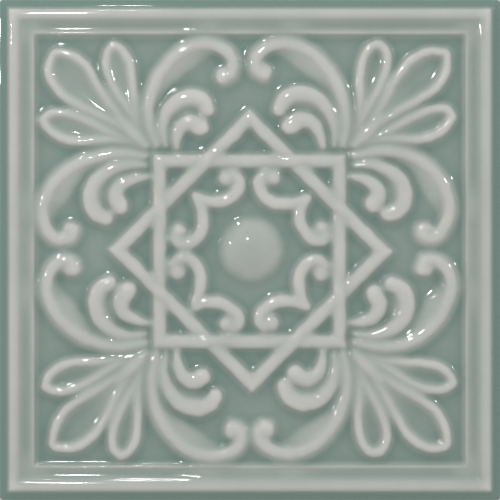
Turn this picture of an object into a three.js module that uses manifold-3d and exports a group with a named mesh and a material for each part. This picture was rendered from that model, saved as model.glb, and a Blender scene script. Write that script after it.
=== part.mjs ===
// A square relief wall tile of glazed ceramic, pressed and fired as one piece: a moulded frame round a
// sunk field that carries an eight-pointed star of two interlaced square bands, a domed boss in its middle,
// scrolls inside the star, and at each corner a palmette of three petals between leaves that curl inwards.
// Millimetres, +Z up. The origin is the middle of the flat back, and the glazed face looks up.
import * as THREE from "three";
import { mergeVertices } from "three/addons/utils/BufferGeometryUtils.js";
import Module from "manifold-3d";

// Body
const TILE_SIDE = 150;
const FIELD_HEIGHT = 7.0; // from the back to the sunk field
const BACK_CHAMFER = 0.5;
const CORNER_RADIUS = 1.0; // of the tile's four corners in plan

// Frame moulding, from the tile's edge inwards. Rises are above the field.
const EDGE_HEIGHT = 6.0; // from the back to the rim of the low ledge round the edge
const LEDGE_HEIGHT = 6.8; // from the back to the ledge's inner side
const LEDGE_WIDTH = 2.3;
const OUTER_WALL_RUN = 0.6; // how far the steep wall from the ledge up to the band leans
const BAND_WIDTH = 3.6;
const BAND_RISE = 2.6;
const BAND_SHOULDER = 0.7; // from the band's crest down to the top of the outer wall
const COVE_WIDTH = 3.1;
const COVE_RISE = 0.8; // lowest line of the cove between band and bead
const BEAD_WIDTH = 1.1;
const BEAD_RISE = 1.6;
const BEAD_SHOULDER = 0.4; // from the bead's crest down to the top of the inner wall
const INNER_WALL_RUN = 0.5;

// Boss: a cap cut from a ball
const BOSS_DIAMETER = 20.3; // where it meets the field
const BOSS_RISE = 3.5;
const BOSS_PLACE = [0.5, 0.15]; // the hand-cut boss stands a little off the middle

// Star: two square bands, one upright and one turned on its point. Neither is quite square or quite centred.
// Each pair is across and along the tile, or along the two diagonals for the band that is turned.
const BAR_WIDTH = 4.85;
const BAR_RISE = 2.15;
const SQUARE_HALVES = [26.9, 27.0]; // from the band's middle to its bars' centrelines
const SQUARE_MIDDLE = [-0.1, -0.4];
const DIAMOND_HALVES = [27.9, 28.35];
const DIAMOND_MIDDLE = [-0.05, -0.35];
const WEAVE_RISE = 0.4; // how far a bar rises over, or dips under, the one that it crosses
const WEAVE_REACH = 4.2; // along the bar, to each side of the crossing

// Leaves, petals and scrolls
const RIDGE_WIDTH = 4.7;
const RIDGE_RISE = 2.2;
const RIM_WIDTH = 3.7; // of the raised rim round a petal
const RIM_RISE = 2.0;
const STEM_WIDTH = 4.8;
const STEM_RISE = 2.2;
const RISE_BY_WIDTH = 0.62; // the power of its width's share by which a ridge gets lower where it narrows
const BULB_DIAMETER = 6.2; // of the round end that a leaf or scroll curls into
const BULB_RISE = 2.1;
const WEB_EDGE_RISE = 0.4; // of a leaf's hollow web at its free edge
const WEB_RIDGE_RISE = 1.9; // and where it runs into the ridge
const WEB_SWELL = 0.75; // the power by which it rises from the one to the other
const BASIN_ROOT_RISE = 1.4; // of a petal's hollow floor near its root
const BASIN_RIM_RISE = 1.4; // and along its rims
const SIDE_BASIN_OVER = 0.15; // how much higher a side petal's floor lies than the corner petal's
const ORNAMENT_GAP = 0.55; // between the leaves and the frame
const SINK = 0.15; // how far a ridge's widest line lies under the field, so that its sides meet it steeply
const ROOTED = 1.2; // how far webs, basins and the boss reach down into the body

// Facets
const RIDGE_SIDES = 6;
const BULB_SIDES = 10;
const BULB_RINGS = 4;
const CORNER_STEPS = 3;
const OUTER_LEAF_STEPS = 16;
const MIDDLE_LEAF_STEPS = 8;
const INNER_LEAF_STEPS = 5;
const PETAL_STEPS = 6;
const STEM_STEPS = 2;
const SCROLL_STEPS = 10;
const OUTER_WEB_STEPS = 4;
const WEB_STEPS = 3;
const BAR_STEPS = 12; // along one side of a band
const BOSS_SEGMENTS = 24;
const BEND_STEPS = 3; // in each bend of a section

// The drawing of half a corner, in millimetres from the middle of a tile whose leaves reach DRAWN_REACH.
// Each line runs from its root by the star's corner to its tip. A third number is the width there as a
// share of the full width. The half with x above y is its mirror image.
const DRAWN_REACH = 63.25;
const OUTER_LEAF = [
  [27.9, 31.2, 0.6], [29.3, 37.5, 0.85], [29.1, 43.5, 0.95], [27, 49.7, 1], [22.6, 55.6, 1], [17.3, 59.5, 1],
  [11.4, 61, 1], [5.9, 59.2, 1], [3.4, 56, 1], [3.9, 53.2, 1], [6, 52.4, 1],
];
const OUTER_LEAF_BULB = [5.6, 53.3];
const OUTER_WEB = [[26.8, 41.8], [24, 47.2], [19.4, 50.6], [15.2, 53.4], [12, 56.4], [9, 58]];
const OUTER_WEB_SPAN = [0.2, 0.76]; // the shares of the leaf's line that its web runs along
const MIDDLE_LEAF = [
  [25.2, 31.2, 0.5], [25.6, 36.3, 0.85], [24.1, 41.3, 1.1], [20.4, 45, 1.2], [15.7, 46, 1.25],
  [12.1, 44.5, 1.2], [10.7, 41.8, 1.05],
];
const MIDDLE_WEB = [[23.5, 37.2], [20.6, 40.4], [17, 41.2], [13.4, 40.6]];
const MIDDLE_WEB_SPAN = [0.25, 0.9];
const INNER_LEAF = [
  [21.9, 30.6, 0.6], [21.3, 34.1, 0.9], [19.5, 37.3, 1.12], [16.4, 38.1, 1.25], [13.5, 36.2, 1.25],
];
const SIDE_PETAL_LEFT = [
  [30.7, 32.9, 0.35], [32.7, 38.4, 0.7], [33.3, 45, 1], [33.3, 51, 1], [34.6, 56.6, 1], [37.4, 60, 1],
  [39.6, 60.8, 1],
];
const SIDE_PETAL_RIGHT = [
  [31, 32.7, 0.35], [33.3, 37.2, 0.68], [36.3, 42.9, 1], [39.8, 48.9, 1], [41.7, 55, 1], [41.2, 58.9, 1],
  [39.6, 60.8, 1],
];
const MIDDLE_STEM = [[31.4, 31.4, 0.7], [34.5, 34.5, 1], [39.2, 39.2, 0.8]];
const MIDDLE_PETAL = [
  [32, 32.7, 0.35], [36.3, 37.8, 0.7], [40.5, 43.5, 1], [44.1, 50.1, 1], [48.3, 55.8, 1], [53.7, 58.6, 1],
  [58.2, 59.1, 0.9],
];
const BASIN_SPAN = [0.12, 0.97]; // the shares of a petal's rims that its hollow floor runs between
const BASIN_DEEP_FROM = 0.1; // the share of the floor's length at which it begins to sink
const BASIN_DEEP_AT = 0.66; // and the one at which it has reached its full depth
const BASIN_LAP = 0.3; // how far the corner petal's two half floors lap over the diagonal
const SCROLL = [
  [16.2, 16.5, 0.8], [13.4, 15.1, 0.9], [10.4, 14.7, 1], [7.4, 15, 1], [4.8, 16.6, 1], [3, 18.7, 1],
  [2.9, 21.2, 1], [4.4, 22.9, 0.9],
];
const SCROLL_BULB = [6.4, 21.7];

// The relief is cut by hand, so no two half corners are quite alike. Each entry says how far that one's
// lines drift from the drawing, in millimetres. Leaves and scrolls drift by [x, y] at the shares of their
// points named here, the side petal's tip too. Rims stand over to the right of their own line. The last
// number is how high the corner petal's floor lies over the field.
const OUTER_DRIFT_AT = [0, 0.22, 0.5, 0.7, 1];
const LEAF_DRIFT_AT = [0, 0.5, 1];
const RIM_DRIFT_AT = [0, 0.5, 0.85, 1];
const HALF_CORNERS = [
  {
    right: false, up: true, lying: false,
    outer: [[1.3, -0.6], [1.8, 0.6], [1.5, 0.5], [2.2, -0.9]],
    middle: [[1.4, -0.7], [2.2, 0.2]],
    inner: [[1.2, -0.6], [1.5, 0.6]],
    petal: [1.5, 0.4], petalLeft: [1.2, 0.2], petalRight: [0.5, 0], corner: [1.7, 0.2],
    scroll: [[0.1, -0.4], [0.1, -0.2], [0.5, -0.2]], basin: 0.6,
  },
  {
    right: false, up: true, lying: true,
    outer: [[-1.3, 1.2], [-0.5, 1], [-0.6, 0.9], [0.2, 0.5]],
    middle: [[-0.8, 1.6], [-1, 1.3]],
    inner: [[-0.1, 1.3], [-0.2, 2.8]],
    petal: [-0.9, 1.1], petalLeft: [-0.4, 0.2], petalRight: [-0.5, 0.2], corner: [-1.4, -1.9],
    scroll: [[-0.8, -0.6], [-1.2, -0.7], [-1.1, -0.3]], basin: 0.5,
  },
  {
    right: true, up: true, lying: false,
    outer: [[-1.2, 0], [-1.2, 0.6], [-1.8, 0.8], [-1.4, 0.2]],
    middle: [[-1, 0.7], [-1.6, 0.5]],
    inner: [[-0.8, 0.7], [-1.5, 0.9]],
    petal: [-0.8, 0.7], petalLeft: [0, -0.5], petalRight: [-0.3, 0.2], corner: [-0.9, -0.8],
    scroll: [[0.9, -1.1], [-0.4, -0.8], [0.3, 0.1]], basin: 0.15,
  },
  {
    right: true, up: true, lying: true,
    outer: [[0.1, 0.3], [0.6, -1], [0.3, -1.6], [0.1, -0.8]],
    middle: [[-0.5, 0.5], [0.1, -0.5]],
    inner: [[-0.3, 0], [0.3, 0.8]],
    petal: [0.2, -0.2], petalLeft: [-0.4, 0.5], petalRight: [-0.2, 0.7], corner: [0.5, -0.2],
    scroll: [[-1.2, 0.4], [0.9, 0], [-0.4, 0]], basin: 0.15,
  },
  {
    right: false, up: false, lying: false,
    outer: [[-0.2, 0.4], [0.1, 0.8], [-0.9, 0.8], [-0.5, 0.9]],
    middle: [[0.2, 0.9], [-0.2, 1.9]],
    inner: [[0.4, 0.4], [0.9, 1.9]],
    petal: [-0.7, 0.8], petalLeft: [0.6, -0.2], petalRight: [-0.2, 0.1], corner: [-1, -0.8],
    scroll: [[0.2, 0.6], [0.9, 1.2], [0.3, 0.6]], basin: 0.15,
  },
  {
    right: false, up: false, lying: true,
    outer: [[-0.6, -0.6], [-0.6, -0.3], [0, 0], [-0.2, 0.4]],
    middle: [[0.2, -0.2], [-0.7, 0.2]],
    inner: [[-0.9, 0.5], [-1.4, 0.4]],
    petal: [1.2, 0.4], petalLeft: [-0.4, -0.2], petalRight: [-0.3, -0.2], corner: [0.2, 0.2],
    scroll: [[0, 0.2], [-1, 0], [0, 0]], basin: 0.15,
  },
  {
    right: true, up: false, lying: false,
    outer: [[-0.5, -0.2], [-0.3, 0.2], [-0.5, -0.1], [-0.7, 0.9]],
    middle: [[-0.2, -0.1], [-0.3, -1.1]],
    inner: [[0.3, 0.2], [0.1, 0.9]],
    petal: [-0.9, -0.3], petalLeft: [-0.5, -1], petalRight: [0, -0.2], corner: [-0.1, -0.8],
    scroll: [[0.7, 0.6], [0.6, 0.5], [-0.2, 0.1]], basin: 0.1,
  },
  {
    right: true, up: false, lying: true,
    outer: [[-0.5, 1], [-1.2, -0.6], [-0.4, -0.6], [-0.2, -0.8]],
    middle: [[-0.1, 1], [-0.5, 0.6]],
    inner: [[0.3, 0.1], [-0.4, 1.1]],
    petal: [0.3, 0], petalLeft: [0.3, 0], petalRight: [0.3, -0.2], corner: [0.1, 0],
    scroll: [[0.5, 0.2], [-0.1, -0.1], [0.5, -0.3]], basin: 0.1,
  },
];

const wasm = await Module();
wasm.setup();

const bandIn = LEDGE_WIDTH + OUTER_WALL_RUN;
const coveIn = bandIn + BAND_WIDTH;
const beadIn = coveIn + COVE_WIDTH;
const wallIn = beadIn + BEAD_WIDTH;
const fieldIn = wallIn + INNER_WALL_RUN;
const scale = (TILE_SIDE / 2 - fieldIn - ORNAMENT_GAP) / DRAWN_REACH;

// Turns a closed three.js geometry into a solid.
function solid(geometry) {
  const bare = geometry.clone();
  bare.deleteAttribute("normal");
  bare.deleteAttribute("uv");
  const merged = mergeVertices(bare, 1e-4);
  const vertProperties = merged.getAttribute("position").array;
  const triVerts = new Uint32Array(merged.index.array);
  return new wasm.Manifold(new wasm.Mesh({ numProp: 3, vertProperties, triVerts }));
}

// Moves every vertex of a geometry to where place(x, y, z) puts it.
function reshape(geometry, place) {
  const position = geometry.getAttribute("position");
  for (let i = 0; i < position.count; i++) {
    position.setXYZ(i, ...place(position.getX(i), position.getY(i), position.getZ(i)));
  }
  return geometry;
}

// Lays a geometry drawn for one half corner into the half corner that is asked for.
function laid(geometry, { right, up, lying }) {
  const toX = right ? 1 : -1;
  const toY = up ? 1 : -1;
  reshape(geometry, (x, y, z) => (lying ? [toX * y, toY * x, z] : [toX * x, toY * y, z]));
  const mirrored = (right !== up) !== lying;
  if (mirrored) {
    const index = geometry.getIndex();
    for (let i = 0; i < index.count; i += 3) {
      const first = index.getX(i);
      index.setX(i, index.getX(i + 1));
      index.setX(i + 1, first);
    }
  }
  return geometry;
}

// The body with its frame: the side's section turned round a square, which is a lathe of four segments.
function body() {
  const half = TILE_SIDE / 2;
  const band = FIELD_HEIGHT + BAND_RISE;
  const cove = FIELD_HEIGHT + COVE_RISE;
  const bead = FIELD_HEIGHT + BEAD_RISE;
  const section = new THREE.Path();
  const to = (inset, height) => section.lineTo(half - inset, height);
  const bend = (viaInset, viaHeight, inset, height) =>
    section.quadraticCurveTo(half - viaInset, viaHeight, half - inset, height);
  section.moveTo(0, 0);
  to(BACK_CHAMFER, 0);
  to(0, BACK_CHAMFER);
  to(0, EDGE_HEIGHT);
  bend(LEDGE_WIDTH / 2, LEDGE_HEIGHT, LEDGE_WIDTH, LEDGE_HEIGHT);
  to(bandIn, band - BAND_SHOULDER);
  bend(bandIn, band, bandIn + BAND_WIDTH / 2, band);
  bend(coveIn - BAND_WIDTH / 8, band, coveIn, (band + cove) / 2);
  bend(coveIn + COVE_WIDTH / 4, cove, coveIn + COVE_WIDTH / 2, cove);
  bend(beadIn - COVE_WIDTH / 4, cove, beadIn, (bead + cove) / 2);
  bend(beadIn, bead, beadIn + BEAD_WIDTH / 2, bead);
  bend(wallIn, bead, wallIn, bead - BEAD_SHOULDER);
  to(fieldIn, FIELD_HEIGHT);
  section.lineTo(0, FIELD_HEIGHT);
  const points = section.getPoints(BEND_STEPS).map((p) => new THREE.Vector2(p.x * Math.SQRT2, p.y));
  const square = solid(new THREE.LatheGeometry(points, 4, Math.PI / 4).rotateX(Math.PI / 2));
  return wasm.Manifold.intersection([square, plan()]);
}

// A prism of the tile's plan, with its corners rounded.
function plan() {
  const straight = TILE_SIDE / 2 - CORNER_RADIUS;
  const outline = new THREE.Shape();
  for (const quarter of [0, 1, 2, 3]) {
    const from = (quarter * Math.PI) / 2;
    const x = quarter === 0 || quarter === 3 ? straight : -straight;
    const y = quarter < 2 ? straight : -straight;
    outline.absarc(x, y, CORNER_RADIUS, from, from + Math.PI / 2);
  }
  const depth = FIELD_HEIGHT + BAND_RISE;
  const settings = { depth, bevelEnabled: false, curveSegments: CORNER_STEPS };
  return solid(new THREE.ExtrudeGeometry(outline, settings));
}

// The domed boss.
function boss() {
  const radius = BOSS_DIAMETER / 2;
  const round = (radius ** 2 + BOSS_RISE ** 2) / (2 * BOSS_RISE);
  const ballCentre = FIELD_HEIGHT + BOSS_RISE - round;
  const section = new THREE.Path();
  section.moveTo(0, FIELD_HEIGHT - ROOTED);
  section.lineTo(radius, FIELD_HEIGHT - ROOTED);
  section.absarc(0, ballCentre, round, Math.acos(radius / round), Math.PI / 2);
  const dome = new THREE.LatheGeometry(section.getPoints(BEND_STEPS), BOSS_SEGMENTS).rotateX(Math.PI / 2);
  return solid(dome.translate(...BOSS_PLACE, 0));
}

// The height of a place on a ridge whose section has flat sides and a flat top.
function onSection(z, rise) {
  const top = Math.sin((2 * Math.PI) / RIDGE_SIDES);
  return FIELD_HEIGHT - SINK + (z / top) * (rise + SINK);
}

// One square band of the star. Going round it, each side rises over the first bar that it crosses and dips
// under the second.
function band(halves, otherHalves, middle, turn) {
  const [toCentre, otherToCentre] = [halves, otherHalves].map(([across, along]) => (across + along) / 2);
  const crossing = otherToCentre * Math.SQRT2 - toCentre;
  const swell = (s) => (Math.abs(s) < WEAVE_REACH ? Math.cos((s / WEAVE_REACH) * (Math.PI / 2)) ** 2 : 0);
  const quarter = Math.PI / 2;
  const ringRadius = 2;
  const ring = new THREE.TorusGeometry(ringRadius, 1, RIDGE_SIDES, 4 * BAR_STEPS);
  reshape(ring, (x, y, z) => {
    const angle = Math.atan2(y, x);
    const side = Math.round(angle / quarter) * quarter;
    const outward = toCentre + (Math.hypot(x, y) - ringRadius) * (BAR_WIDTH / 2);
    const along = Math.tan(angle - side) * outward;
    const weave = WEAVE_RISE * (swell(along + crossing) - swell(along - crossing));
    const cos = Math.cos(side);
    const sin = Math.sin(side);
    return [
      ((outward * cos - along * sin) * halves[0]) / toCentre + middle[0],
      ((outward * sin + along * cos) * halves[1]) / toCentre + middle[1],
      onSection(z, BAR_RISE + (z > 0 ? weave : 0)),
    ];
  });
  return solid(ring.rotateZ(turn));
}

// The value at a share between the values given at some shares.
function between(shares, values, share) {
  const next = Math.max(1, shares.findIndex((s) => s >= share - 1e-9));
  const [from, to] = [shares[next - 1], shares[next]];
  return THREE.MathUtils.lerp(values[next - 1], values[next], (share - from) / (to - from));
}

// Drawn points, each moved by the drift that falls to its share of the way between two shares of the leaf.
function drifted(drawn, shares, drifts, [from, to] = [0, 1]) {
  return drawn.map(([x, y, width = 1], i) => {
    const share = from + ((to - from) * i) / (drawn.length - 1);
    const [dx, dy] = [0, 1].map((k) => between(shares, drifts.map((drift) => drift[k]), share));
    return [x + dx, y + dy, width];
  });
}

// Drawn points, each moved to the right of its own line.
function setOver(drawn, shares, rights) {
  const last = drawn.length - 1;
  return drawn.map(([x, y, width], i) => {
    const [before, after] = [drawn[Math.max(i - 1, 0)], drawn[Math.min(i + 1, last)]];
    const way = new THREE.Vector2(after[0] - before[0], after[1] - before[1]).normalize();
    const over = between(shares, [0, ...rights, 0], i / last);
    return [x + way.y * over, y - way.x * over, width];
  });
}

// Drawn points as a smooth curve.
function curve(points) {
  const places = points.map(([x, y, width]) => new THREE.Vector3(x * scale, y * scale, width));
  return new THREE.CatmullRomCurve3(places, false, "centripetal");
}

// A rounded ridge with round ends along a curve.
function ridge(line, width, rise, steps) {
  const capsule = new THREE.CapsuleGeometry(1, steps, 1, RIDGE_SIDES, steps);
  return reshape(capsule, (x, y, z) => {
    const onLine = THREE.MathUtils.clamp(y, -steps / 2, steps / 2);
    const share = onLine / steps + 0.5;
    const at = line.getPointAt(share);
    const way = line.getTangentAt(share).setZ(0).normalize();
    const half = (width / 2) * at.z;
    const ahead = (y - onLine) * half;
    const aside = x * half;
    const height = onSection(z, rise * at.z ** RISE_BY_WIDTH);
    return [at.x + way.x * ahead + way.y * aside, at.y + way.y * ahead - way.x * aside, height];
  });
}

// A hollow web between a curve on its left and one on its right. rise(across, share) gives its top.
function web(left, right, rise, steps) {
  const block = new THREE.BoxGeometry(1, 1, 1, 2, steps, 1);
  return reshape(block, (x, y, z) => {
    const share = y + 0.5;
    const across = x + 0.5;
    const at = left(share).lerp(right(share), across);
    return [at.x, at.y, FIELD_HEIGHT + (z > 0 ? rise(across, share) : -ROOTED)];
  });
}

// The round bulb that a leaf or scroll curls into.
function bulb(x, y) {
  const radius = BULB_DIAMETER / 2;
  return new THREE.SphereGeometry(1, BULB_SIDES, BULB_RINGS)
    .rotateX(Math.PI / 2)
    .scale(radius, radius, BULB_RISE)
    .translate(x * scale, y * scale, FIELD_HEIGHT);
}

const part = (line, [from, to] = [0, 1]) => (share) => line.getPointAt(from + (to - from) * share);
const fromRoot = (drifts) => [[0, 0], ...drifts];

// Everything that grows in one half corner, and half of the petal on its diagonal.
function halfCorner(place) {
  const outerLeaf = curve(drifted(OUTER_LEAF, OUTER_DRIFT_AT, fromRoot(place.outer)));
  const middleLeaf = curve(drifted(MIDDLE_LEAF, LEAF_DRIFT_AT, fromRoot(place.middle)));
  const innerLeaf = curve(drifted(INNER_LEAF, LEAF_DRIFT_AT, fromRoot(place.inner)));
  const outerWeb = curve(drifted(OUTER_WEB, OUTER_DRIFT_AT, fromRoot(place.outer), OUTER_WEB_SPAN));
  const middleWeb = curve(drifted(MIDDLE_WEB, LEAF_DRIFT_AT, fromRoot(place.middle), MIDDLE_WEB_SPAN));
  const rim = (drawn, rights) =>
    curve(setOver(drifted(drawn, [0, 1], fromRoot([place.petal])), RIM_DRIFT_AT, rights));
  const petalLeft = rim(SIDE_PETAL_LEFT, place.petalLeft);
  const petalRight = rim(SIDE_PETAL_RIGHT, place.petalRight);
  const cornerPetal = curve(setOver(MIDDLE_PETAL, RIM_DRIFT_AT, place.corner));
  const scroll = curve(drifted(SCROLL, LEAF_DRIFT_AT, place.scroll));
  const curled = place.outer.at(-1);
  const scrolled = place.scroll.at(-1);
  const diagonal = (share) => {
    const edge = part(cornerPetal, BASIN_SPAN)(share);
    const on = (edge.x + edge.y) / 2;
    return new THREE.Vector3(on + BASIN_LAP, on - BASIN_LAP, 0);
  };
  const webRise = (across) => THREE.MathUtils.lerp(WEB_EDGE_RISE, WEB_RIDGE_RISE, across ** WEB_SWELL);
  const basin = (floor) => (toMiddle, share) => {
    const sunk = THREE.MathUtils.smoothstep(share, BASIN_DEEP_FROM, BASIN_DEEP_AT);
    const middle = THREE.MathUtils.lerp(BASIN_ROOT_RISE, floor, sunk);
    return THREE.MathUtils.lerp(BASIN_RIM_RISE, middle, toMiddle);
  };
  const cornerBasin = basin(place.basin);
  const sideFloor = basin(place.basin + SIDE_BASIN_OVER);
  const sideBasin = (across, share) => sideFloor(1 - Math.abs(2 * across - 1), share);
  return [
    ridge(outerLeaf, RIDGE_WIDTH, RIDGE_RISE, OUTER_LEAF_STEPS),
    ridge(middleLeaf, RIDGE_WIDTH, RIDGE_RISE, MIDDLE_LEAF_STEPS),
    ridge(innerLeaf, RIDGE_WIDTH, RIDGE_RISE, INNER_LEAF_STEPS),
    ridge(petalLeft, RIM_WIDTH, RIM_RISE, PETAL_STEPS),
    ridge(petalRight, RIM_WIDTH, RIM_RISE, PETAL_STEPS),
    ridge(cornerPetal, RIM_WIDTH, RIM_RISE, PETAL_STEPS),
    ridge(scroll, RIDGE_WIDTH, RIDGE_RISE, SCROLL_STEPS),
    bulb(OUTER_LEAF_BULB[0] + curled[0], OUTER_LEAF_BULB[1] + curled[1]),
    bulb(SCROLL_BULB[0] + scrolled[0], SCROLL_BULB[1] + scrolled[1]),
    web(part(outerWeb), part(outerLeaf, OUTER_WEB_SPAN), webRise, OUTER_WEB_STEPS),
    web(part(middleWeb), part(middleLeaf, MIDDLE_WEB_SPAN), webRise, WEB_STEPS),
    web(part(petalLeft, BASIN_SPAN), part(petalRight, BASIN_SPAN), sideBasin, WEB_STEPS),
    web(part(cornerPetal, BASIN_SPAN), diagonal, cornerBasin, WEB_STEPS),
  ].map((geometry) => solid(laid(geometry, place)));
}

const stem = ridge(curve(MIDDLE_STEM), STEM_WIDTH, STEM_RISE, STEM_STEPS);
const ornament = HALF_CORNERS.flatMap(halfCorner);
for (const place of HALF_CORNERS.filter(({ lying }) => !lying)) {
  ornament.push(solid(laid(stem.clone(), place)));
}
ornament.push(band(SQUARE_HALVES, DIAMOND_HALVES, SQUARE_MIDDLE, 0));
ornament.push(band(DIAMOND_HALVES, SQUARE_HALVES, DIAMOND_MIDDLE, Math.PI / 4));
ornament.push(boss());

const fired = wasm.Manifold.union([body(), ...ornament]).getMesh();
const geometry = new THREE.BufferGeometry();
geometry.setAttribute("position", new THREE.BufferAttribute(fired.vertProperties, 3));
geometry.setIndex(new THREE.BufferAttribute(fired.triVerts, 1));
geometry.computeVertexNormals();

const glaze = new THREE.MeshStandardMaterial({ color: 0xa3b2aa, roughness: 0.15, metalness: 0 });
const tile = new THREE.Mesh(geometry, glaze);
tile.name = "tile";
const root = new THREE.Group();
root.add(tile);

export default root;
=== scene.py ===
import math

import bpy
import numpy as np
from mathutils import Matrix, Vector


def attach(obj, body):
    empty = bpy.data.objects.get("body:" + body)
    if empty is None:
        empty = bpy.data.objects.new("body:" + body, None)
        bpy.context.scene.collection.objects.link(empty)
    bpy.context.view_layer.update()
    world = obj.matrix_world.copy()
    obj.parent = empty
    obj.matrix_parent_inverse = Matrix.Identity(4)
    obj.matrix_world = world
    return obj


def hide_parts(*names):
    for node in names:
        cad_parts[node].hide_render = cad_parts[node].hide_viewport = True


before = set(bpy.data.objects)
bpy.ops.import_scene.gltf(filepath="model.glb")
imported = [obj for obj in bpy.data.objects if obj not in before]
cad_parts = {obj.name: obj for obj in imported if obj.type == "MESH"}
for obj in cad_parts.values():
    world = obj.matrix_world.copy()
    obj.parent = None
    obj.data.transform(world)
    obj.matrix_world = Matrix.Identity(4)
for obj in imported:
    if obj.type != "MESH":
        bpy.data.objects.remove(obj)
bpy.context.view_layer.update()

# Sizes are in metres. Relief rises are above the sunk field.
MM = 0.001
TILE_SIDE = 150 * MM
FIELD_HEIGHT = 7.0 * MM
CORNER_RADIUS = 1.0 * MM
BACK_CHAMFER = 0.5 * MM

# Frame moulding, from the tile's edge inwards
EDGE_HEIGHT = 6.0 * MM
LEDGE_HEIGHT = 6.8 * MM
LEDGE_WIDTH = 2.3 * MM
OUTER_WALL_RUN = 0.6 * MM
BAND_WIDTH = 3.6 * MM
BAND_RISE = 2.6 * MM
BAND_SHOULDER = 0.7 * MM
COVE_WIDTH = 3.1 * MM
COVE_RISE = 0.8 * MM
BEAD_WIDTH = 1.1 * MM
BEAD_RISE = 1.6 * MM
BEAD_SHOULDER = 0.4 * MM
INNER_WALL_RUN = 0.5 * MM
FRAME_WIDTH = LEDGE_WIDTH + OUTER_WALL_RUN + BAND_WIDTH + COVE_WIDTH + BEAD_WIDTH + INNER_WALL_RUN
SPARE_ROUND_TILE = 1 * MM
BEND_STEPS = 8

# Boss and star
BOSS_ROUND = 16.5 * MM
BOSS_RISE = 3.5 * MM
BOSS_DIAMETER = 2 * math.sqrt(BOSS_ROUND**2 - (BOSS_ROUND - BOSS_RISE)**2)
BOSS_PLACE = (0.5 * MM, 0.15 * MM)
BAR_WIDTH = 4.85 * MM
BAR_RISE = 2.15 * MM
SQUARE_HALVES = (26.9 * MM, 27.0 * MM)
SQUARE_MIDDLE = (-0.1 * MM, -0.4 * MM)
DIAMOND_HALVES = (27.9 * MM, 28.35 * MM)
DIAMOND_MIDDLE = (-0.05 * MM, -0.35 * MM)
WEAVE_RISE = 0.4 * MM
WEAVE_REACH = 4.2 * MM
BAR_STEPS = 40
BAR_STEPS_AROUND = 24
RING_RADIUS = 2.0

# Leaves, petals and scrolls
SECTION_SQUARENESS = 0.62
RIM_SQUARENESS = 0.8
RISE_BY_WIDTH = 0.62
RIDGE_WIDTH = 4.7 * MM
RIDGE_RISE = 2.2 * MM
SKIRT_WIDTH = 5.0 * MM
SKIRT_RISE = 1.05 * MM
SKIRT_OVER = 0.8
RIM_WIDTH = 3.7 * MM
RIM_RISE = 2.0 * MM
STEM_WIDTH = 4.8 * MM
STEM_RISE = 2.2 * MM
KNOB_DIAMETER = 6.2 * MM
KNOB_RISE = 2.1 * MM
WEB_EDGE_RISE = 0.4 * MM
WEB_RIDGE_RISE = 1.9 * MM
WEB_SWELL = 0.75
BASIN_ROOT_RISE = 1.4 * MM
SIDE_BASIN_OVER = 0.15
BASIN_RIM_RISE = 1.4 * MM
BASIN_DEEP_FROM = 0.1
BASIN_DEEP_AT = 0.66
RIDGE_STEPS_A_POINT = 6
END_CAP_SHARES = np.array([0.4, 0.75, 0.95, 1.0])
SMALLEST_CAP_SHARE = 0.02
WEB_STEPS_ACROSS = 12
FINE_LINE_POINTS = 101
DIAGONAL_OVERLAP = 0.1

# The drawing of half a corner, in millimetres from the middle of the tile, from each line's root to its tip.
# A third number is the width there as a share of the full one.
OUTER_LEAF = [
    (27.9, 31.2, 0.6), (29.3, 37.5, 0.85), (29.1, 43.5, 0.95), (27, 49.7, 1), (22.6, 55.6, 1),
    (17.3, 59.5, 1), (11.4, 61, 1), (5.9, 59.2, 1), (3.4, 56, 1), (3.9, 53.2, 1), (6, 52.4, 1),
]
OUTER_LEAF_BULB = (5.6, 53.3)
OUTER_WEB = [(26.8, 41.8), (24, 47.2), (19.4, 50.6), (15.2, 53.4), (12, 56.4), (9, 58)]
OUTER_WEB_SPAN = (0.2, 0.76)
MIDDLE_LEAF = [
    (25.2, 31.2, 0.5), (25.6, 36.3, 0.85), (24.1, 41.3, 1.1), (20.4, 45, 1.25), (15.7, 46, 1.32),
    (12.1, 44.5, 1.3), (10.7, 41.8, 1.18),
]
MIDDLE_WEB = [(23.5, 37.2), (20.6, 40.4), (17, 41.2), (13.4, 40.6)]
MIDDLE_WEB_SPAN = (0.25, 0.9)
INNER_LEAF = [
    (21.9, 30.6, 0.6), (21.3, 34.1, 0.9), (19.5, 37.3, 1.15), (16.4, 38.1, 1.33), (13.5, 36.2, 1.36),
]
SIDE_PETAL_LEFT = [
    (30.7, 32.9, 0.35), (32.7, 38.4, 0.7), (33.3, 45, 1), (33.3, 51, 1), (34.6, 56.6, 1), (37.4, 60, 1),
    (39.6, 60.8, 1),
]
SIDE_PETAL_RIGHT = [
    (31, 32.7, 0.35), (33.3, 37.2, 0.68), (36.3, 42.9, 1), (39.8, 48.9, 1), (41.7, 55, 1),
    (41.2, 58.9, 1), (39.6, 60.8, 1),
]
MIDDLE_STEM = [(31.4, 31.4, 0.7), (34.5, 34.5, 1), (39.2, 39.2, 0.8)]
MIDDLE_PETAL = [
    (32, 32.7, 0.35), (36.3, 37.8, 0.7), (40.5, 43.5, 1), (44.1, 50.1, 1), (48.3, 55.8, 1),
    (53.7, 58.6, 1), (58.2, 59.1, 0.9),
]
BASIN_SPAN = (0.12, 0.97)
SCROLL = [
    (16.2, 16.5, 0.8), (13.4, 15.1, 0.9), (10.4, 14.7, 1), (7.4, 15, 1), (4.8, 16.6, 1), (3, 18.7, 1),
    (2.9, 21.2, 1), (4.4, 22.9, 0.9),
]
SCROLL_BULB = (6.4, 21.7)

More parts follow.
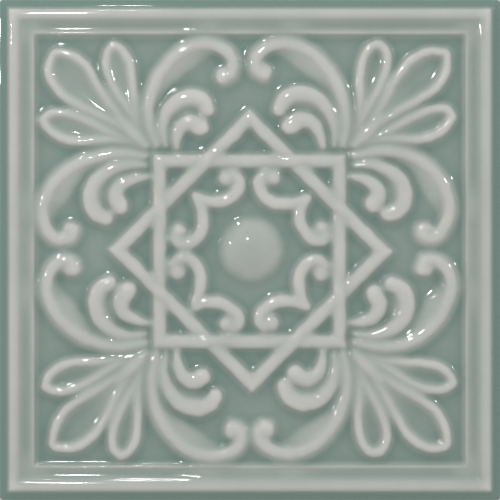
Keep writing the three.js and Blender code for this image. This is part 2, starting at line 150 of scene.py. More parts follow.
# How far each half corner's leaves drift from the drawing, as they do in relief cut by hand.
# Leaves drift by (x, y) at the shares of their points named here, petal rims by how far they stand to the right
# of their own line, halfway along and near the tip.
OUTER_DRIFT_AT = (0, 0.22, 0.5, 0.7, 1)
LEAF_DRIFT_AT = (0, 0.5, 1)
RIM_DRIFT_AT = (0, 0.5, 0.85, 1)
HALF_CORNERS = [
    dict(right=-1, up=1, lying=False,
         outer=[(1.3, -0.6), (1.8, 0.6), (1.5, 0.5), (2.2, -0.9)], middle=[(1.4, -0.7), (2.2, 0.2)],
         inner=[(1.2, -0.6), (1.5, 0.6)], petal=(1.5, 0.4), petal_left=(1.2, 0.2), petal_right=(0.5, 0),
         corner=(1.7, 0.2),
         scroll=[(0.1, -0.4), (0.1, -0.2), (0.5, -0.2)], basin=0.6),
    dict(right=-1, up=1, lying=True,
         outer=[(-1.3, 1.2), (-0.5, 1), (-0.6, 0.9), (0.2, 0.5)], middle=[(-0.8, 1.6), (-1, 1.3)],
         inner=[(-0.1, 1.3), (-0.2, 2.8)], petal=(-0.9, 1.1), petal_left=(-0.4, 0.2), petal_right=(-0.5, 0.2),
         corner=(-1.4, -1.9),
         scroll=[(-0.8, -0.6), (-1.2, -0.7), (-1.1, -0.3)], basin=0.5),
    dict(right=1, up=1, lying=False,
         outer=[(-1.2, 0), (-1.2, 0.6), (-1.8, 0.8), (-1.4, 0.2)], middle=[(-1, 0.7), (-1.6, 0.5)],
         inner=[(-0.8, 0.7), (-1.5, 0.9)], petal=(-0.8, 0.7), petal_left=(0, -0.5), petal_right=(-0.3, 0.2),
         corner=(-0.9, -0.8),
         scroll=[(0.9, -1.1), (-0.4, -0.8), (0.3, 0.1)], basin=0.15),
    dict(right=1, up=1, lying=True,
         outer=[(0.1, 0.3), (0.6, -1), (0.3, -1.6), (0.1, -0.8)], middle=[(-0.5, 0.5), (0.1, -0.5)],
         inner=[(-0.3, 0), (0.3, 0.8)], petal=(0.2, -0.2), petal_left=(-0.4, 0.5), petal_right=(-0.2, 0.7),
         corner=(0.5, -0.2),
         scroll=[(-1.2, 0.4), (0.9, 0), (-0.4, 0)], basin=0.15),
    dict(right=-1, up=-1, lying=False,
         outer=[(-0.2, 0.4), (0.1, 0.8), (-0.9, 0.8), (-0.5, 0.9)], middle=[(0.2, 0.9), (-0.2, 1.9)],
         inner=[(0.4, 0.4), (0.9, 1.9)], petal=(-0.7, 0.8), petal_left=(0.6, -0.2), petal_right=(-0.2, 0.1),
         corner=(-1, -0.8),
         scroll=[(0.2, 0.6), (0.9, 1.2), (0.3, 0.6)], basin=0.15),
    dict(right=-1, up=-1, lying=True,
         outer=[(-0.6, -0.6), (-0.6, -0.3), (0, 0), (-0.2, 0.4)], middle=[(0.2, -0.2), (-0.7, 0.2)],
         inner=[(-0.9, 0.5), (-1.4, 0.4)], petal=(1.2, 0.4), petal_left=(-0.4, -0.2), petal_right=(-0.3, -0.2),
         corner=(0.2, 0.2),
         scroll=[(0, 0.2), (-1, 0), (0, 0)], basin=0.15),
    dict(right=1, up=-1, lying=False,
         outer=[(-0.5, -0.2), (-0.3, 0.2), (-0.5, -0.1), (-0.7, 0.9)], middle=[(-0.2, -0.1), (-0.3, -1.1)],
         inner=[(0.3, 0.2), (0.1, 0.9)], petal=(-0.9, -0.3), petal_left=(-0.5, -1), petal_right=(0, -0.2),
         corner=(-0.1, -0.8),
         scroll=[(0.7, 0.6), (0.6, 0.5), (-0.2, 0.1)], basin=0.1),
    dict(right=1, up=-1, lying=True,
         outer=[(-0.5, 1), (-1.2, -0.6), (-0.4, -0.6), (-0.2, -0.8)], middle=[(-0.1, 1), (-0.5, 0.6)],
         inner=[(0.3, 0.1), (-0.4, 1.1)], petal=(0.3, 0), petal_left=(0.3, 0), petal_right=(0.3, -0.2),
         corner=(0.1, 0),
         scroll=[(0.5, 0.2), (-0.1, -0.1), (0.5, -0.3)], basin=0.1),
]

# How the relief fills the frame's cove where the leaves come close to it, along each side from its middle
COVE_FILL = 0.75 * MM
COVE_FILL_AT = 12.5 * MM
COVE_FILL_REACH = 6 * MM
COVE_MIDDLE_FILL = 0.35 * MM
MITRE_FILL_FROM = 59 * MM
MITRE_FILL_RUN = 6 * MM

# Glaze: how it fills hollows, and how far its depth over the clay is told by the relief round about
SHEET_CELLS = 600
SHEET_POINTS = SHEET_CELLS + 1
SHEET_SPACING = TILE_SIDE / SHEET_CELLS
SHEET_START_HEIGHT = 20 * MM
GLAZE_FLOW = 0.34 * MM
MENISCUS = 0.45
MENISCUS_REACH = 1.3 * MM
POOL_REACH = 2.0 * MM
DEEPEST = -0.4 * MM
SURFACE_SWELL = 0.02 * MM
SWELL_REACH = 3.5 * MM
WAVER = 0.075 * MM
WAVER_REACH = 0.65 * MM
SEED = 7
TRIANGLES = 180_000
GLAZE_STARTS = 1.6 * MM
INSIDE_CAD_BOX = 0.99999
SMOOTH_UNDER_DEGREES = 50

# Where the glaze has drawn back, as how far proud of the relief each place counts, and how wide it is
RIM_BARED = 0.5 * MM
RIM_BARED_WIDTH = 0.35 * MM
HIP_BARED = 0.6 * MM
HIP_BARED_WIDTH = 0.5 * MM
MITRE_BARED = 0.2 * MM
MITRE_BARED_WIDTH = 0.8 * MM

# Glaze colours, as a screen shows them
DEEP_GLAZE = (107, 133, 125)
MIDDLE_GLAZE = (154, 164, 158)
THIN_GLAZE = (201, 200, 197)
BISCUIT = (206, 192, 176)
THIN_ON_FIELD = 0.225
CREST_RISE = 1.0 * MM
THIN_BY_CREST = 0.44
THIN_BY_PROUD = 0.37 / MM
TINT_REACH = 0.6 * MM
BAND_POOLING = 0.09
MOULDING_POOLING = 0.09
BOSS_POOLING = 0.17
BROAD_MOTTLE = 0.2
BROAD_MOTTLE_SCALE = 60
FINE_MOTTLE = 0.05
FINE_MOTTLE_SCALE = 500
GLAZE_ROUGHNESS = 0.06
GLAZE_IOR = 1.6
BISCUIT_ROUGHNESS = 0.85
BISCUIT_DARKER = 14
BISCUIT_LIGHTER = 8
BISCUIT_GRAIN_SCALE = 1500
BISCUIT_GRAIN_DEPTH = 0.05 * MM
GLAZE_EDGE_WANDER = 0.9 * MM
GLAZE_EDGE_WANDER_SCALE = 90
GLAZE_EDGE_SOFTNESS = 0.25 * MM

# The photograph's studio
FLOOR_SIDE = 4
CAMERA_HEIGHT = 0.839
CAMERA_LENS = 200
CAMERA_SENSOR = 36
ROOM_LIGHT = 0.758
ROOM_NEAR_COLOUR = (1, 0.925, 0.9, 1)
ROOM_FAR_COLOUR = (0.94, 1, 0.985, 1)
WINDOW_PLACE = (-0.36, 0.62, 0.52)
WINDOW_POWER = 0.5
WINDOW_SIDE = 0.5
WINDOW_COLOUR = (0.95, 1, 1.01)

# Each lamp's name, place and power in watts. Its glint comes from a little behind it.
LAMP_RADIUS = 0.004
GLINT_RADIUS = 0.013
GLINT_STRENGTH = 1.5
GLINT_SET_BACK = 1.06
LAMPS = [
    ("main lamp", (-0.09, 0.2, 0.5), 1.1),
    ("left lamp", (-0.37, 0.1, 0.34), 0.6),
    ("right lamp", (0.4, 0.23, 0.2), 0.7),
    ("corner lamp", (-0.27, 0.51, 0.24), 1.0),
    ("far lamp", (-0.06, 0.62, 0.2), 0.6),
]


def only(piece):
    bpy.ops.object.select_all(action="DESELECT")
    piece.select_set(True)
    bpy.context.view_layer.objects.active = piece


def places_of(piece):
    places = np.empty(len(piece.data.vertices) * 3)
    piece.data.vertices.foreach_get("co", places)
    return places.reshape(-1, 3)


def put_places(piece, places):
    piece.data.vertices.foreach_set("co", places.ravel())
    piece.data.update()


def apply_modifier(piece, kind, **settings):
    only(piece)
    modifier = piece.modifiers.new(kind.lower(), kind)
    for name, value in settings.items():
        setattr(modifier, name, value)
    bpy.ops.object.modifier_apply(modifier=modifier.name)


def bend(start, via, end):
    """Points along a smooth bend, without its start."""
    t = np.linspace(0, 1, BEND_STEPS + 1)[1:, None]
    return (1 - t) ** 2 * np.array(start) + 2 * t * (1 - t) * np.array(via) + t**2 * np.array(end)


def frame_section():
    """The frame's section as (distance from the tile's edge, height), from the edge inwards."""
    band, cove, bead = FIELD_HEIGHT + BAND_RISE, FIELD_HEIGHT + COVE_RISE, FIELD_HEIGHT + BEAD_RISE
    band_in = LEDGE_WIDTH + OUTER_WALL_RUN
    cove_in = band_in + BAND_WIDTH
    bead_in = cove_in + COVE_WIDTH
    wall_in = bead_in + BEAD_WIDTH
    points = [np.array([[0.0, EDGE_HEIGHT]])]

    def to(inset, height, via=None):
        start = points[-1][-1]
        points.append(bend(start, via or (start + (inset, height)) / 2, (inset, height)))

    to(LEDGE_WIDTH, LEDGE_HEIGHT, via=(LEDGE_WIDTH * 0.6, LEDGE_HEIGHT))
    to(band_in, band - BAND_SHOULDER)
    to(band_in + BAND_WIDTH / 2, band, via=(band_in, band))
    to(cove_in, (band + cove) / 2, via=(cove_in - BAND_WIDTH / 8, band))
    to(cove_in + COVE_WIDTH / 2, cove, via=(cove_in + COVE_WIDTH / 4, cove))
    to(bead_in, (bead + cove) / 2, via=(bead_in - COVE_WIDTH / 4, cove))
    to(bead_in + BEAD_WIDTH / 2, bead, via=(bead_in, bead))
    to(wall_in, bead - BEAD_SHOULDER, via=(wall_in, bead))
    to(wall_in + INNER_WALL_RUN, FIELD_HEIGHT)
    return np.vstack(points)


def pressed_slab():
    """The face of the tile with its frame, inset step by step from a plane a little larger than the tile."""
    bpy.ops.mesh.primitive_plane_add(size=TILE_SIDE + 2 * SPARE_ROUND_TILE, location=(0, 0, EDGE_HEIGHT))
    slab = bpy.context.active_object
    bpy.ops.object.mode_set(mode="EDIT")
    bpy.ops.mesh.select_all(action="SELECT")
    inset, height = -SPARE_ROUND_TILE, EDGE_HEIGHT
    for next_inset, next_height in frame_section():
        bpy.ops.mesh.inset(thickness=next_inset - inset, depth=next_height - height, use_even_offset=True)
        inset, height = next_inset, next_height
    bpy.ops.object.mode_set(mode="OBJECT")
    return slab


def flattened(rise, squareness=SECTION_SQUARENESS):
    """The rise of a round section, drawn out towards its sides so that the top is flatter."""
    return np.sign(rise) * np.abs(rise) ** squareness


def swell(along):
    near = np.abs(along) < WEAVE_REACH
    return np.where(near, np.cos(along / WEAVE_REACH * math.pi / 2) ** 2, 0)


def square_band(halves, other_halves, middle, turn):
    """A round ring drawn out into one square band of the star, rising and dipping where it crosses the other."""
    to_centre, other_to_centre = sum(halves) / 2, sum(other_halves) / 2
    bpy.ops.mesh.primitive_torus_add(
        major_radius=RING_RADIUS, minor_radius=1, major_segments=4 * BAR_STEPS, minor_segments=BAR_STEPS_AROUND)
    band = bpy.context.active_object
    x, y, z = places_of(band).T
    angle = np.arctan2(y, x)
    side = np.round(angle / (math.pi / 2)) * math.pi / 2
    outward = to_centre + (np.hypot(x, y) - RING_RADIUS) * BAR_WIDTH / 2
    along = np.tan(angle - side) * outward
    crossing = other_to_centre * math.sqrt(2) - to_centre
    weave = WEAVE_RISE * (swell(along + crossing) - swell(along - crossing))
    height = FIELD_HEIGHT + flattened(z) * (BAR_RISE + weave)
    u = (outward * np.cos(side) - along * np.sin(side)) * halves[0] / to_centre + middle[0]
    v = (outward * np.sin(side) + along * np.cos(side)) * halves[1] / to_centre + middle[1]
    turned = [u * math.cos(turn) - v * math.sin(turn), u * math.sin(turn) + v * math.cos(turn)]
    put_places(band, np.stack([*turned, height], axis=1))
    return band


def boss():
    bpy.ops.mesh.primitive_uv_sphere_add(
        segments=128, ring_count=96, radius=BOSS_ROUND,
        location=(*BOSS_PLACE, FIELD_HEIGHT + BOSS_RISE - BOSS_ROUND))
    return bpy.context.active_object


def knob(centre):
    bpy.ops.mesh.primitive_uv_sphere_add(
        segments=24, ring_count=12, radius=KNOB_DIAMETER / 2, location=(*centre, FIELD_HEIGHT))
    dome = bpy.context.active_object
    dome.scale.z = KNOB_RISE / (KNOB_DIAMETER / 2)
    return dome


def laid(points, place):
    """Points of the drawing, in millimetres, laid into one of the eight half corners, in metres."""
    x, y = np.array(points, float)[:, :2].T * MM
    if place["lying"]:
        x, y = y, x
    return np.stack([place["right"] * x, place["up"] * y], axis=1)


def drifted(points, shares, drifts, root=(0, 0)):
    """Points of the drawing, each moved by the drift that falls to its share of the way along."""
    along = np.linspace(0, 1, len(points))
    drifts = np.vstack([root, *drifts])
    moved = [np.interp(along, shares, drifts[:, k]) for k in (0, 1)]
    return [(p[0] + dx, p[1] + dy, *p[2:]) for p, dx, dy in zip(points, *moved)]


def set_over(points, shares, rights):
    """Points of the drawing, each moved to the right of its own line."""
    places = np.array(points, float)[:, :2]
    ahead = np.gradient(places, axis=0)
    ahead /= np.hypot(*ahead.T)[:, None]
    over = np.interp(np.linspace(0, 1, len(points)), shares, rights)
    return [(p[0] + a[1] * o, p[1] - a[0] * o, *p[2:]) for p, a, o in zip(points, ahead, over)]


def smooth_line(points, count):
    """Evenly spaced places along a smooth curve through the points, with any third number carried along."""
    given = np.array([(*p, 1)[:3] for p in points], float)
    knots = np.r_[0, np.cumsum(np.hypot(*np.diff(given[:, :2], axis=0).T) ** 0.5)]
    ends = 2 * given[[0, -1]] - given[[1, -2]]
    knots = np.r_[-knots[1], knots, 2 * knots[-1] - knots[-2]]
    given = np.vstack([ends[0], given, ends[1]])
    dense = []
    for i in range(1, len(given) - 2):
        t = np.linspace(knots[i], knots[i + 1], 24, endpoint=False)[:, None]
        p = [given[i - 1 + k] for k in range(4)]
        k = knots[i - 1:i + 3]
        a = [((k[j + 1] - t) * p[j] + (t - k[j]) * p[j + 1]) / (k[j + 1] - k[j]) for j in range(3)]
        b = [((k[j + 2] - t) * a[j] + (t - k[j]) * a[j + 1]) / (k[j + 2] - k[j]) for j in range(2)]
        dense.append(((k[2] - t) * b[0] + (t - k[1]) * b[1]) / (k[2] - k[1]))
    dense = np.vstack([*dense, given[-2]])
    run = np.r_[0, np.cumsum(np.hypot(*np.diff(dense[:, :2], axis=0).T))]
    even = np.linspace(0, run[-1], count)
    return np.stack([np.interp(even, run, dense[:, i]) for i in range(3)], axis=1)


def ridge(points, place, width, rise, squareness=SECTION_SQUARENESS):
    """A rounded ridge with round ends, as a curve with a round section that is then pressed to its rise."""
    line = smooth_line(points, RIDGE_STEPS_A_POINT * len(points))
    ends = []
    for tip, before in ((line[0], line[1]), (line[-1], line[-2])):
        ahead = (tip - before)[:2] / np.hypot(*(tip - before)[:2])
        half = tip[2] * width / 2 / MM
        shares = [max(SMALLEST_CAP_SHARE, math.sqrt(1 - s * s)) for s in END_CAP_SHARES]
        ends.append([(*(tip[:2] + ahead * half * s), tip[2] * w) for s, w in zip(END_CAP_SHARES, shares)])
    line = np.vstack([ends[0][::-1], line, ends[1]])
    bpy.ops.curve.primitive_bezier_curve_add()
    strand = bpy.context.active_object
    curve = strand.data
    curve.splines.clear()
    spline = curve.splines.new("POLY")
    spline.points.add(len(line) - 1)
    spline.points.foreach_set("co", np.c_[laid(line, place), np.zeros(len(line)), np.ones(len(line))].ravel())
    spline.points.foreach_set("radius", line[:, 2])
    curve.dimensions = "3D"
    curve.bevel_depth = width / 2
    curve.bevel_resolution = 4
    bpy.ops.object.convert(target="MESH")
    strand = bpy.context.active_object
    places = places_of(strand)
    around = len(places) // len(line)
    share = np.repeat(line[:, 2], around)
    round_rise = places[:, 2] / (width / 2) / share
    places[:, 2] = FIELD_HEIGHT + flattened(round_rise, squareness) * rise * share ** RISE_BY_WIDTH
    put_places(strand, places)
    return strand


def web(left, right, place, rise):
    """A hollow floor between a line on its left and one on its right. rise(across, share) gives its height."""
    last = len(left) - 1
    bpy.ops.mesh.primitive_grid_add(x_subdivisions=WEB_STEPS_ACROSS, y_subdivisions=last, size=2)
    floor = bpy.context.active_object
    x, y, _ = places_of(floor).T
    across = (x + 1) / 2
    share = (y + 1) / 2
    row = np.round(share * last).astype(int)
    at = left[row, :2] * (1 - across)[:, None] + right[row, :2] * across[:, None]
    put_places(floor, np.c_[laid(at, place), FIELD_HEIGHT + rise(across, share)])
    return floor


def part_of(line, span):
    """The stretch of a line between two shares of its length."""
    count = len(line) - 1
    return line[round(span[0] * count):round(span[1] * count) + 1]


def hollow(across):
    return 1 - np.abs(2 * across - 1) ** 3


def web_rise(across, share):
    fade = np.sin(np.pi * np.clip(share, 0, 1)) ** 0.4
    return (WEB_EDGE_RISE + (WEB_RIDGE_RISE - WEB_EDGE_RISE) * across ** WEB_SWELL) * fade


def basin_rise(across, share, floor):
    t = np.clip((share - BASIN_DEEP_FROM) / (BASIN_DEEP_AT - BASIN_DEEP_FROM), 0, 1)
    deep = BASIN_ROOT_RISE + (floor - BASIN_ROOT_RISE) * t * t * (3 - 2 * t)
    return BASIN_RIM_RISE + (deep - BASIN_RIM_RISE) * hollow(across)


def half_corner(place):
    """Everything that grows in one half corner, and half of the petal on its diagonal."""
    def leaf_web(line, span):
        """The inner edge of a leaf's hollow, drifting as the leaf beside it does."""
        shares, drifts = (OUTER_DRIFT_AT, place["outer"]) if line is OUTER_WEB else (LEAF_DRIFT_AT, place["middle"])
        drifts = np.vstack([(0, 0), *drifts])
        beside = np.linspace(*span, len(line))
        moved = [np.interp(beside, shares, drifts[:, k]) for k in (0, 1)]
        return [(p[0] + dx, p[1] + dy) for p, dx, dy in zip(line, *moved)]

    def rim(points, rights):
        drifting = drifted(points, (0, 1), [place["petal"]])
        return set_over(drifting, RIM_DRIFT_AT, (0, *rights, 0))

    outer = drifted(OUTER_LEAF, OUTER_DRIFT_AT, place["outer"])
    middle = drifted(MIDDLE_LEAF, LEAF_DRIFT_AT, place["middle"])
    inner = drifted(INNER_LEAF, LEAF_DRIFT_AT, place["inner"])
    petal_left = rim(SIDE_PETAL_LEFT, place["petal_left"])
    petal_right = rim(SIDE_PETAL_RIGHT, place["petal_right"])
    corner = set_over(MIDDLE_PETAL, RIM_DRIFT_AT, (0, *place["corner"], 0))
    scroll = drifted(SCROLL, LEAF_DRIFT_AT, place["scroll"][1:], place["scroll"][0])
    bulb = np.array(OUTER_LEAF_BULB) + place["outer"][-1]
    scroll_bulb = np.array(SCROLL_BULB) + place["scroll"][-1]
    outer_stretch = part_of(smooth_line(outer, FINE_LINE_POINTS), OUTER_WEB_SPAN)
    middle_stretch = part_of(smooth_line(middle, FINE_LINE_POINTS), MIDDLE_WEB_SPAN)
    corner_stretch = part_of(smooth_line(corner, FINE_LINE_POINTS), BASIN_SPAN)
    left_stretch = part_of(smooth_line(petal_left, FINE_LINE_POINTS), BASIN_SPAN)
    right_stretch = part_of(smooth_line(petal_right, FINE_LINE_POINTS), BASIN_SPAN)
    diagonal = np.repeat(corner_stretch[:, :2].mean(axis=1)[:, None], 2, axis=1)
    diagonal += (DIAGONAL_OVERLAP, -DIAGONAL_OVERLAP)

    def basin(across, share):
        return basin_rise(across, share, (place["basin"] + SIDE_BASIN_OVER) * MM)

    def half_basin(across, share):
        return basin_rise(across / 2, share, place["basin"] * MM)

    return [
        ridge(outer, place, RIDGE_WIDTH, RIDGE_RISE),
        ridge(set_over(outer, (0, 1), (SKIRT_OVER, SKIRT_OVER)), place, SKIRT_WIDTH, SKIRT_RISE),
        ridge(middle, place, RIDGE_WIDTH, RIDGE_RISE),
        ridge(inner, place, RIDGE_WIDTH, RIDGE_RISE),
        ridge(petal_left, place, RIM_WIDTH, RIM_RISE, RIM_SQUARENESS),
        ridge(petal_right, place, RIM_WIDTH, RIM_RISE, RIM_SQUARENESS),
        ridge(corner, place, RIM_WIDTH, RIM_RISE, RIM_SQUARENESS),
        ridge(scroll, place, RIDGE_WIDTH, RIDGE_RISE),
        knob(laid([bulb], place)[0]),
        knob(laid([scroll_bulb], place)[0]),
        web(smooth_line(leaf_web(OUTER_WEB, OUTER_WEB_SPAN), len(outer_stretch)), outer_stretch, place, web_rise),
        web(smooth_line(leaf_web(MIDDLE_WEB, MIDDLE_WEB_SPAN), len(middle_stretch)), middle_stretch, place,
            web_rise),
        web(left_stretch, right_stretch, place, basin),
        web(corner_stretch, diagonal, place, half_basin),
    ]


def press_form():
    """The whole relief as loose shapes joined together, over which the tile's face is draped."""
    shapes = [
        pressed_slab(),
        square_band(SQUARE_HALVES, DIAMOND_HALVES, SQUARE_MIDDLE, 0),
        square_band(DIAMOND_HALVES, SQUARE_HALVES, DIAMOND_MIDDLE, math.pi / 4),
        boss(),
    ]
    for place in HALF_CORNERS:
        shapes += half_corner(place)
        if not place["lying"]:
            shapes.append(ridge(MIDDLE_STEM, place, STEM_WIDTH, STEM_RISE))
    bpy.ops.object.select_all(action="DESELECT")
    for shape in shapes:
        shape.select_set(True)
    bpy.context.view_layer.objects.active = shapes[0]
    bpy.ops.object.join()
    bpy.ops.object.transform_apply(location=True, rotation=True, scale=True)
    return bpy.context.active_object


def blurred(field, radius):
    """Values over the whole sheet softened over a radius."""
    reach = int(math.ceil(3 * radius / SHEET_SPACING))
    weights = np.exp(-0.5 * (np.arange(-reach, reach + 1) * SHEET_SPACING / radius) ** 2)
    weights /= weights.sum()
    for _ in range(2):
        padded = np.pad(field, ((reach, reach), (0, 0)), mode="edge")
        field = sum(w * padded[i:i + len(field)] for i, w in enumerate(weights)).T
    return field


random = np.random.default_rng(SEED)


def roughly(reach):
    """Seeded unevenness over the whole sheet, soft over a reach, that is 1 in its usual size."""
    rough = blurred(random.standard_normal((SHEET_POINTS, SHEET_POINTS)), reach)
    return rough / rough.std()


def draped_sheet(form):
    """A fine sheet laid down over the form."""
    bpy.ops.mesh.primitive_grid_add(
        x_subdivisions=SHEET_CELLS, y_subdivisions=SHEET_CELLS, size=TILE_SIDE,
        location=(0, 0, SHEET_START_HEIGHT))
    sheet = bpy.context.active_object
    bpy.ops.object.transform_apply(location=True)
    apply_modifier(sheet, "SHRINKWRAP", target=form, wrap_method="PROJECT", use_project_z=True,
                   use_negative_direction=True, use_positive_direction=False)
    return sheet


def cove_fill(x, y):
    """How much higher the cove of the frame runs at each place."""
    inset = TILE_SIDE / 2 - np.maximum(abs(x), abs(y))
    along = np.minimum(abs(x), abs(y))
    middle = LEDGE_WIDTH + OUTER_WALL_RUN + BAND_WIDTH + COVE_WIDTH / 2
    across = np.exp(-((inset - middle) / (COVE_WIDTH / 2)) ** 2)
    fill = COVE_FILL * np.exp(-((along - COVE_FILL_AT) / COVE_FILL_REACH) ** 2)
    fill = np.maximum(fill, COVE_MIDDLE_FILL * (along < COVE_FILL_AT))
    fill = np.maximum(fill, COVE_FILL * np.clip((along - MITRE_FILL_FROM) / MITRE_FILL_RUN, 0, 1))
    return across * fill


def wavered(heights, x, y):
    """The relief inside the frame with its walls wavering a little, as they do where they are cut by hand."""
    inset = TILE_SIDE / 2 - np.maximum(abs(x), abs(y))
    share = np.clip((inset - FRAME_WIDTH) / WAVER_REACH, 0, 1)
    moved = [c + WAVER * share * roughly(WAVER_REACH) for c in (x, y)]
    return sampled(heights, *moved)


def thinness(x, y, heights):
    """How thin the glaze lies, from 0 where it has pooled deep to 1 on crests that stand out."""
    relief = blurred(np.maximum(heights - FIELD_HEIGHT, DEEPEST), TINT_REACH)
    proud = relief - blurred(relief, POOL_REACH) + bared_edges(x, y)
    inset = TILE_SIDE / 2 - np.maximum(abs(x), abs(y))
    on_band = inset < LEDGE_WIDTH + OUTER_WALL_RUN + BAND_WIDTH
    on_moulding = inset < LEDGE_WIDTH + OUTER_WALL_RUN + BAND_WIDTH + COVE_WIDTH + BEAD_WIDTH
    from_boss = np.hypot(x - BOSS_PLACE[0], y - BOSS_PLACE[1]) / (BOSS_DIAMETER / 2)
    on_boss = np.clip(1 - from_boss**2, 0, 1)
    pooling = BAND_POOLING * on_band + MOULDING_POOLING * on_moulding + BOSS_POOLING * on_boss
    thin = THIN_ON_FIELD + THIN_BY_CREST * np.tanh(relief / CREST_RISE) + THIN_BY_PROUD * proud
    return thin - blurred(pooling, TINT_REACH)


def bared_edges(x, y):
    """How much the glaze has drawn back from the tile's rim and from the mitres of its frame."""
    inset = TILE_SIDE / 2 - np.maximum(abs(x), abs(y))
    off_mitre = abs(abs(x) - abs(y))
    rim = RIM_BARED * np.exp(-(inset / RIM_BARED_WIDTH) ** 2)
    hip = HIP_BARED * np.exp(-(off_mitre / HIP_BARED_WIDTH) ** 2) * (inset < LEDGE_WIDTH)
    mitre = MITRE_BARED * np.exp(-(off_mitre / MITRE_BARED_WIDTH) ** 2) * (inset < LEDGE_WIDTH + BAND_WIDTH)
    return np.maximum(rim, np.maximum(hip, mitre))


def rounded(x, y):
    """Places of the sheet with the tile's square corners drawn in to their radius."""
    straight = TILE_SIDE / 2 - CORNER_RADIUS
    over_x, over_y = np.maximum(abs(x) - straight, 0), np.maximum(abs(y) - straight, 0)
    reach = np.hypot(over_x, over_y)
    shrink = np.where(reach > 0, np.maximum(over_x, over_y) / np.maximum(reach, 1e-9), 1)
    corner = (over_x > 0) & (over_y > 0)
    x = np.where(corner, np.sign(x) * (straight + over_x * shrink), x)
    y = np.where(corner, np.sign(y) * (straight + over_y * shrink), y)
    return x, y


def sampled(field, x, y):
    """A square array of values read at places between its own."""
    column, row = [np.clip((c / TILE_SIDE + 0.5) * SHEET_CELLS, 0, SHEET_CELLS - 1e-6) for c in (x, y)]
    i, j = column.astype(int), row.astype(int)
    u, v = column - i, row - j
    low = field[j, i] * (1 - u) + field[j, i + 1] * u
    high = field[j + 1, i] * (1 - u) + field[j + 1, i + 1] * u
    return low * (1 - v) + high * v


def closed(sheet):
    """The sheet given its sides, the chamfer round the back, and the flat back itself."""
    only(sheet)
    bpy.ops.object.mode_set(mode="EDIT")
    bpy.ops.mesh.select_mode(type="EDGE")
    bpy.ops.mesh.select_all(action="DESELECT")
    bpy.ops.mesh.select_non_manifold()
    for height, share in ((GLAZE_STARTS, 1), (BACK_CHAMFER, 1), (0, 1 - 2 * BACK_CHAMFER / TILE_SIDE)):
        bpy.ops.mesh.extrude_region_move()
        bpy.ops.transform.resize(value=(share, share, 0), center_override=(0, 0, height))
    bpy.ops.mesh.edge_face_add()
    bpy.ops.mesh.select_all(action="SELECT")
    bpy.ops.mesh.normals_make_consistent(inside=False)
    bpy.ops.object.mode_set(mode="OBJECT")


def on_screen(colour):
    """A colour given as a screen shows it, as the share of light that is thrown back."""
    shares = [c / 255 for c in colour]
    return [(c / 12.92 if c < 0.04045 else ((c + 0.055) / 1.055) ** 2.4) for c in shares]


def celadon_glaze():
    """Green glaze that is pale where it lies thin on crests and deep where it has pooled, on bare clay below."""
    material = bpy.data.materials.new("celadon_glaze")
    material.use_nodes = True
    nodes, links = material.node_tree.nodes, material.node_tree.links
    shader = nodes["Principled BSDF"]

    def put(socket, value):
        if isinstance(value, bpy.types.NodeSocket):
            links.new(value, socket)
        else:
            socket.default_value = value

    def worked(operation, *values, clamp=False):
        node = nodes.new("ShaderNodeMath")
        node.operation = operation
        node.use_clamp = clamp
        for socket, value in zip(node.inputs, values):
            put(socket, value)
        return node.outputs[0]

    def mottle(scale, detail, place):
        node = nodes.new("ShaderNodeTexNoise")
        links.new(place, node.inputs["Vector"])
        node.inputs["Scale"].default_value = scale
        node.inputs["Detail"].default_value = detail
        return worked("SUBTRACT", node.outputs["Fac"], 0.5)

    def ramp(share, stops):
        node = nodes.new("ShaderNodeValToRGB")
        links.new(share, node.inputs["Fac"])
        while len(node.color_ramp.elements) < len(stops):
            node.color_ramp.elements.new(0.5)
        for element, (position, colour) in zip(node.color_ramp.elements, stops):
            element.position = position
            element.color = (*colour, 1)
        return node.outputs["Color"]

    place = nodes.new("ShaderNodeTexCoord").outputs["Object"]
    apart = nodes.new("ShaderNodeSeparateXYZ")
    links.new(place, apart.inputs[0])
    height = apart.outputs["Z"]
    thin = nodes.new("ShaderNodeAttribute")
    thin.attribute_name = "thin"
    shader.inputs["IOR"].default_value = GLAZE_IOR

    broad = worked("MULTIPLY", mottle(BROAD_MOTTLE_SCALE, 3, place), BROAD_MOTTLE)
    fine = worked("MULTIPLY", mottle(FINE_MOTTLE_SCALE, 4, place), FINE_MOTTLE)
    mottled = worked("ADD", worked("ADD", thin.outputs["Fac"], broad), fine, clamp=True)
    glaze = ramp(mottled, [
        (0, on_screen(DEEP_GLAZE)), (0.5, on_screen(MIDDLE_GLAZE)), (1, on_screen(THIN_GLAZE))])

    wander = worked("MULTIPLY", mottle(GLAZE_EDGE_WANDER_SCALE, 2, place), GLAZE_EDGE_WANDER)
    above_edge = worked("SUBTRACT", worked("ADD", height, wander), GLAZE_STARTS)
    glazed = worked("MULTIPLY_ADD", above_edge, 1 / GLAZE_EDGE_SOFTNESS, 0.5, clamp=True)
    grain = mottle(BISCUIT_GRAIN_SCALE, 5, place)
    clay = ramp(worked("ADD", grain, 0.5), [
        (0.3, on_screen([c - BISCUIT_DARKER for c in BISCUIT])),
        (0.7, on_screen([c + BISCUIT_LIGHTER for c in BISCUIT]))])
    mix = nodes.new("ShaderNodeMix")
    mix.data_type = "RGBA"
    links.new(glazed, mix.inputs["Factor"])
    links.new(clay, mix.inputs["A"])
    links.new(glaze, mix.inputs["B"])
    links.new(mix.outputs["Result"], shader.inputs["Base Color"])
    roughness = worked("MULTIPLY_ADD", glazed, GLAZE_ROUGHNESS - BISCUIT_ROUGHNESS, BISCUIT_ROUGHNESS)
    links.new(roughness, shader.inputs["Roughness"])

    bump = nodes.new("ShaderNodeBump")
    bump.inputs["Distance"].default_value = BISCUIT_GRAIN_DEPTH
    grainy = worked("MULTIPLY", grain, worked("SUBTRACT", 1, glazed))
    links.new(grainy, bump.inputs["Height"])
    links.new(bump.outputs["Normal"], shader.inputs["Normal"])
    return material


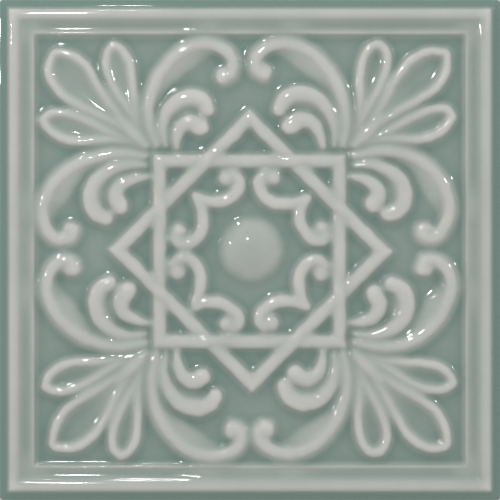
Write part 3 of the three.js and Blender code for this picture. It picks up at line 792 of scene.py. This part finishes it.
form = press_form()
tile = draped_sheet(form)
bpy.data.objects.remove(form)
places = places_of(tile)
x, y, heights = [c.reshape(SHEET_POINTS, SHEET_POINTS) for c in places.T]
heights = blurred(wavered(heights, x, y) + cove_fill(x, y), GLAZE_FLOW)
thin = thinness(x, y, heights)
heights += MENISCUS * np.maximum(blurred(heights, MENISCUS_REACH) - heights, 0)
heights += SURFACE_SWELL * roughly(SWELL_REACH)
round_x, round_y = rounded(x, y)
put_places(tile, np.stack([round_x, round_y, heights], axis=-1).reshape(-1, 3))
tile.name = "tile_visual"
apply_modifier(tile, "DECIMATE", ratio=TRIANGLES / (2 * SHEET_CELLS**2))
closed(tile)
places = places_of(tile)
places[:, :2] *= INSIDE_CAD_BOX
put_places(tile, places)
thin_here = tile.data.attributes.new("thin", "FLOAT", "POINT")
thin_here.data.foreach_set("value", sampled(thin, places[:, 0], places[:, 1]))
only(tile)
bpy.ops.object.shade_smooth_by_angle(angle=math.radians(SMOOTH_UNDER_DEGREES))

tile.data.materials.append(celadon_glaze())

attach(tile, "root")
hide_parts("tile")

bpy.ops.mesh.primitive_plane_add(size=FLOOR_SIDE)
floor = bpy.context.active_object
floor.name = "floor"

camera_data = bpy.data.cameras.new("camera")
camera_data.lens = CAMERA_LENS
camera_data.sensor_width = CAMERA_SENSOR
camera = bpy.data.objects.new("camera", camera_data)
bpy.context.scene.collection.objects.link(camera)
camera.location = (0, 0, CAMERA_HEIGHT)
bpy.context.scene.camera = camera

world = bpy.data.worlds.new("studio")
bpy.context.scene.world = world
world.use_nodes = True
background = world.node_tree.nodes["Background"]
background.inputs["Strength"].default_value = ROOM_LIGHT
way = world.node_tree.nodes.new("ShaderNodeTexCoord")
apart = world.node_tree.nodes.new("ShaderNodeSeparateXYZ")
to_window = world.node_tree.nodes.new("ShaderNodeMapRange")
to_window.inputs["From Min"].default_value = -1
wall = world.node_tree.nodes.new("ShaderNodeValToRGB")
wall.color_ramp.elements[0].color = ROOM_NEAR_COLOUR
wall.color_ramp.elements[1].color = ROOM_FAR_COLOUR
world.node_tree.links.new(way.outputs["Generated"], apart.inputs[0])
world.node_tree.links.new(apart.outputs["Y"], to_window.inputs["Value"])
world.node_tree.links.new(to_window.outputs["Result"], wall.inputs["Fac"])
world.node_tree.links.new(wall.outputs["Color"], background.inputs["Color"])
bpy.context.scene.view_settings.view_transform = "Standard"


def lamp(name, kind, place, energy, size, colour=(1, 1, 1)):
    data = bpy.data.lights.new(name, kind)
    data.energy = energy
    data.color = colour
    if kind == "AREA":
        data.size = size
    else:
        data.shadow_soft_size = size
    light = bpy.data.objects.new(name, data)
    bpy.context.scene.collection.objects.link(light)
    light.location = place
    light.rotation_euler = Vector(place).to_track_quat("Z", "Y").to_euler()
    return light


window = lamp("window", "AREA", WINDOW_PLACE, WINDOW_POWER, WINDOW_SIDE, WINDOW_COLOUR)
window.visible_glossy = False
for name, place, energy in LAMPS:
    lamp(name, "POINT", place, energy, LAMP_RADIUS).visible_glossy = False
    behind = [c * GLINT_SET_BACK for c in place]
    lamp(name + " glint", "POINT", behind, energy * GLINT_STRENGTH, GLINT_RADIUS).visible_diffuse = False
